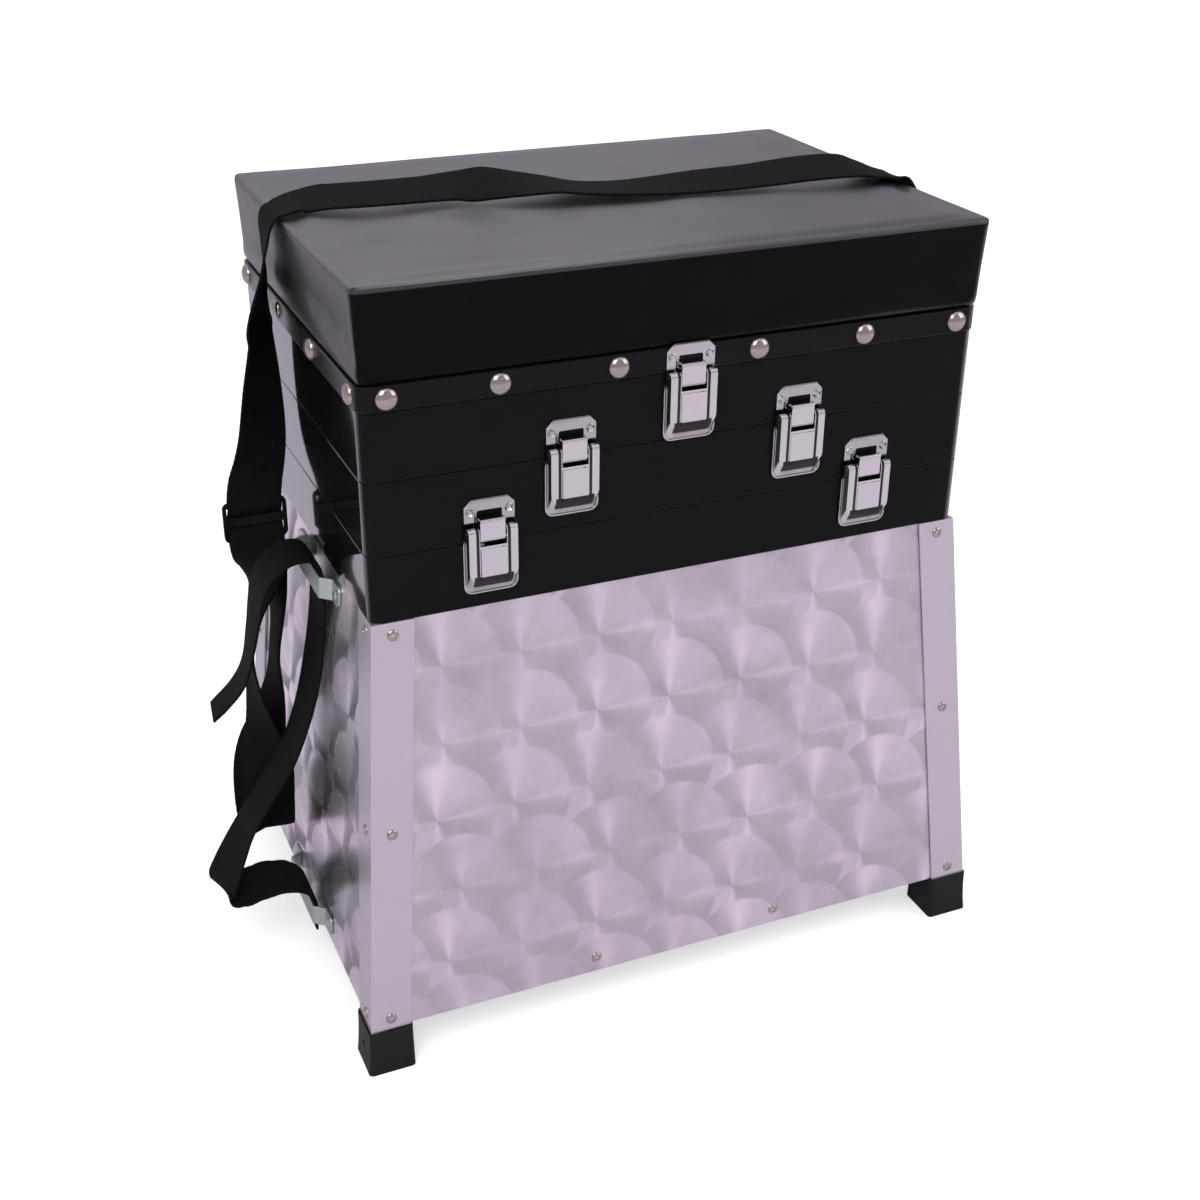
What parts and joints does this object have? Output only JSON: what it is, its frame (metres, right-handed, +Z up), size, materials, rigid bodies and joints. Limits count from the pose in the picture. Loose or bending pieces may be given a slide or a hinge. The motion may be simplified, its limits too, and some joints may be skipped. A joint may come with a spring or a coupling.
{
  "type": "fishing seat box",
  "caption": "Leaning aluminium tackle box on rubber feet with a black base section, hinged trays, a padded lid that serves as a seat, toggle latches and webbing carrying straps.",
  "frame": {"origin": "middle of the footprint, on the floor", "axes": "+Z up, +X to the right along the front, the latches face -Y"},
  "size_m": [0.6494, 0.3828, 0.5895],
  "materials": {
    "swirled_aluminium": "overlapping round engine-turned swirls, clear and slightly pink",
    "plain_aluminium": "smooth satin",
    "black_gloss": "smooth glossy black",
    "black_plastic": "satin black",
    "black_rubber": "matte black",
    "leatherette": "satin black padded leatherette with soft creases",
    "chrome": "bright polished",
    "nickel": "bright, slightly warm",
    "zinc": "bluish zinc plate",
    "webbing": "ribbed black woven webbing"
  },
  "bodies": {
    "base": {"corner_angle_front_left": "plain_aluminium", "foot_front_left": "black_rubber", "corner_angle_front_right": "plain_aluminium", "foot_front_right": "black_rubber", "corner_angle_rear_left": "plain_aluminium", "foot_rear_left": "black_rubber", "corner_angle_rear_right": "plain_aluminium", "foot_rear_right": "black_rubber", "front_panel": "swirled_aluminium", "rear_panel": "swirled_aluminium", "left_panel": "swirled_aluminium", "right_panel": "swirled_aluminium", "floor_pan": "plain_aluminium", "base_section": "black_gloss", "lower_hinge_fixed_leaf": "zinc", "lower_latch_left_base_plate": "chrome", "lower_latch_right_base_plate": "chrome", "upper_bracket_left": "nickel", "lower_bracket_left": "zinc", "shoulder_loop_left": "webbing", "side_strap_left": "webbing", "slider_left": "black_plastic", "upper_bracket_right": "nickel", "lower_bracket_right": "zinc", "shoulder_loop_right": "webbing", "side_strap_right": "webbing", "slider_right": "black_plastic"},
    "lower_tray": {"lower_tray": "black_gloss", "lower_hinge_moving_leaf": "zinc", "middle_hinge_fixed_leaf": "zinc", "upper_latch_left_base_plate": "chrome", "upper_latch_right_base_plate": "chrome", "lower_latch_left_catch": "chrome", "lower_latch_right_catch": "chrome"},
    "upper_tray": {"upper_tray": "black_gloss", "middle_hinge_moving_leaf": "zinc", "lid_hinge_fixed_leaf": "zinc", "lid_latch_base_plate": "chrome", "upper_latch_left_catch": "chrome", "upper_latch_right_catch": "chrome"},
    "lid": {"lid_board": "black_plastic", "edging_band": "black_plastic", "seat_cushion": "leatherette", "lid_hinge_moving_leaf": "zinc", "lid_latch_catch": "chrome", "seat_strap": "webbing"},
    "lid_latch_lever": {"lid_latch_lever": "chrome"},
    "lid_latch_hook": {"lid_latch_hook": "chrome"},
    "upper_latch_left_lever": {"upper_latch_left_lever": "chrome"},
    "upper_latch_left_hook": {"upper_latch_left_hook": "chrome"},
    "upper_latch_right_lever": {"upper_latch_right_lever": "chrome"},
    "upper_latch_right_hook": {"upper_latch_right_hook": "chrome"},
    "lower_latch_left_lever": {"lower_latch_left_lever": "chrome"},
    "lower_latch_left_hook": {"lower_latch_left_hook": "chrome"},
    "lower_latch_right_lever": {"lower_latch_right_lever": "chrome"},
    "lower_latch_right_hook": {"lower_latch_right_hook": "chrome"}
  },
  "joints": [
    {"name": "lower_tray_hinge", "type": "hinge", "parent": "base", "child": "lower_tray", "pos_m": [0, 0.16, 0.3935], "axis": [-1, 0, 0], "range_deg": [0, 70]},
    {"name": "upper_tray_hinge", "type": "hinge", "parent": "lower_tray", "child": "upper_tray", "pos_m": [0, 0.16, 0.445], "axis": [-1, 0, 0], "range_deg": [0, 70]},
    {"name": "lid_hinge", "type": "hinge", "parent": "upper_tray", "child": "lid", "pos_m": [0, 0.16, 0.492], "axis": [-1, 0, 0], "range_deg": [0, 95]},
    {"name": "lid_latch_lever_pivot", "type": "hinge", "parent": "upper_tray", "child": "lid_latch_lever", "pos_m": [0, -0.16, 0.4897], "axis": [-1, 0, 0], "range_deg": [0, 106]},
    {"name": "lid_latch_hook_pivot", "type": "hinge", "parent": "lid_latch_lever", "child": "lid_latch_hook", "pos_m": [0, -0.16, 0.4847], "axis": [-1, 0, 0], "range_deg": [-91.5, 0]},
    {"name": "upper_latch_left_lever_pivot", "type": "hinge", "parent": "lower_tray", "child": "upper_latch_left_lever", "pos_m": [-0.0845, -0.16, 0.4489], "axis": [-1, 0, 0], "range_deg": [0, 106]},
    {"name": "upper_latch_left_hook_pivot", "type": "hinge", "parent": "upper_latch_left_lever", "child": "upper_latch_left_hook", "pos_m": [-0.0845, -0.16, 0.4439], "axis": [-1, 0, 0], "range_deg": [-91.5, 0]},
    {"name": "upper_latch_right_lever_pivot", "type": "hinge", "parent": "lower_tray", "child": "upper_latch_right_lever", "pos_m": [0.0845, -0.16, 0.4489], "axis": [-1, 0, 0], "range_deg": [0, 106]},
    {"name": "upper_latch_right_hook_pivot", "type": "hinge", "parent": "upper_latch_right_lever", "child": "upper_latch_right_hook", "pos_m": [0.0845, -0.16, 0.4439], "axis": [-1, 0, 0], "range_deg": [-91.5, 0]},
    {"name": "lower_latch_left_lever_pivot", "type": "hinge", "parent": "base", "child": "lower_latch_left_lever", "pos_m": [-0.142, -0.16, 0.4023], "axis": [-1, 0, 0], "range_deg": [0, 106]},
    {"name": "lower_latch_left_hook_pivot", "type": "hinge", "parent": "lower_latch_left_lever", "child": "lower_latch_left_hook", "pos_m": [-0.142, -0.16, 0.3973], "axis": [-1, 0, 0], "range_deg": [-91.5, 0]},
    {"name": "lower_latch_right_lever_pivot", "type": "hinge", "parent": "base", "child": "lower_latch_right_lever", "pos_m": [0.142, -0.16, 0.4023], "axis": [-1, 0, 0], "range_deg": [0, 106]},
    {"name": "lower_latch_right_hook_pivot", "type": "hinge", "parent": "lower_latch_right_lever", "child": "lower_latch_right_hook", "pos_m": [0.142, -0.16, 0.3973], "axis": [-1, 0, 0], "range_deg": [-91.5, 0]}
  ],
  "couplings": [
    {"joint": "lid_latch_hook_pivot", "follows": "lid_latch_lever_pivot", "ratio": -0.85},
    {"joint": "upper_latch_left_hook_pivot", "follows": "upper_latch_left_lever_pivot", "ratio": -0.85},
    {"joint": "upper_latch_right_hook_pivot", "follows": "upper_latch_right_lever_pivot", "ratio": -0.85},
    {"joint": "lower_latch_left_hook_pivot", "follows": "lower_latch_left_lever_pivot", "ratio": -0.85},
    {"joint": "lower_latch_right_hook_pivot", "follows": "lower_latch_right_lever_pivot", "ratio": -0.85}
  ]
}
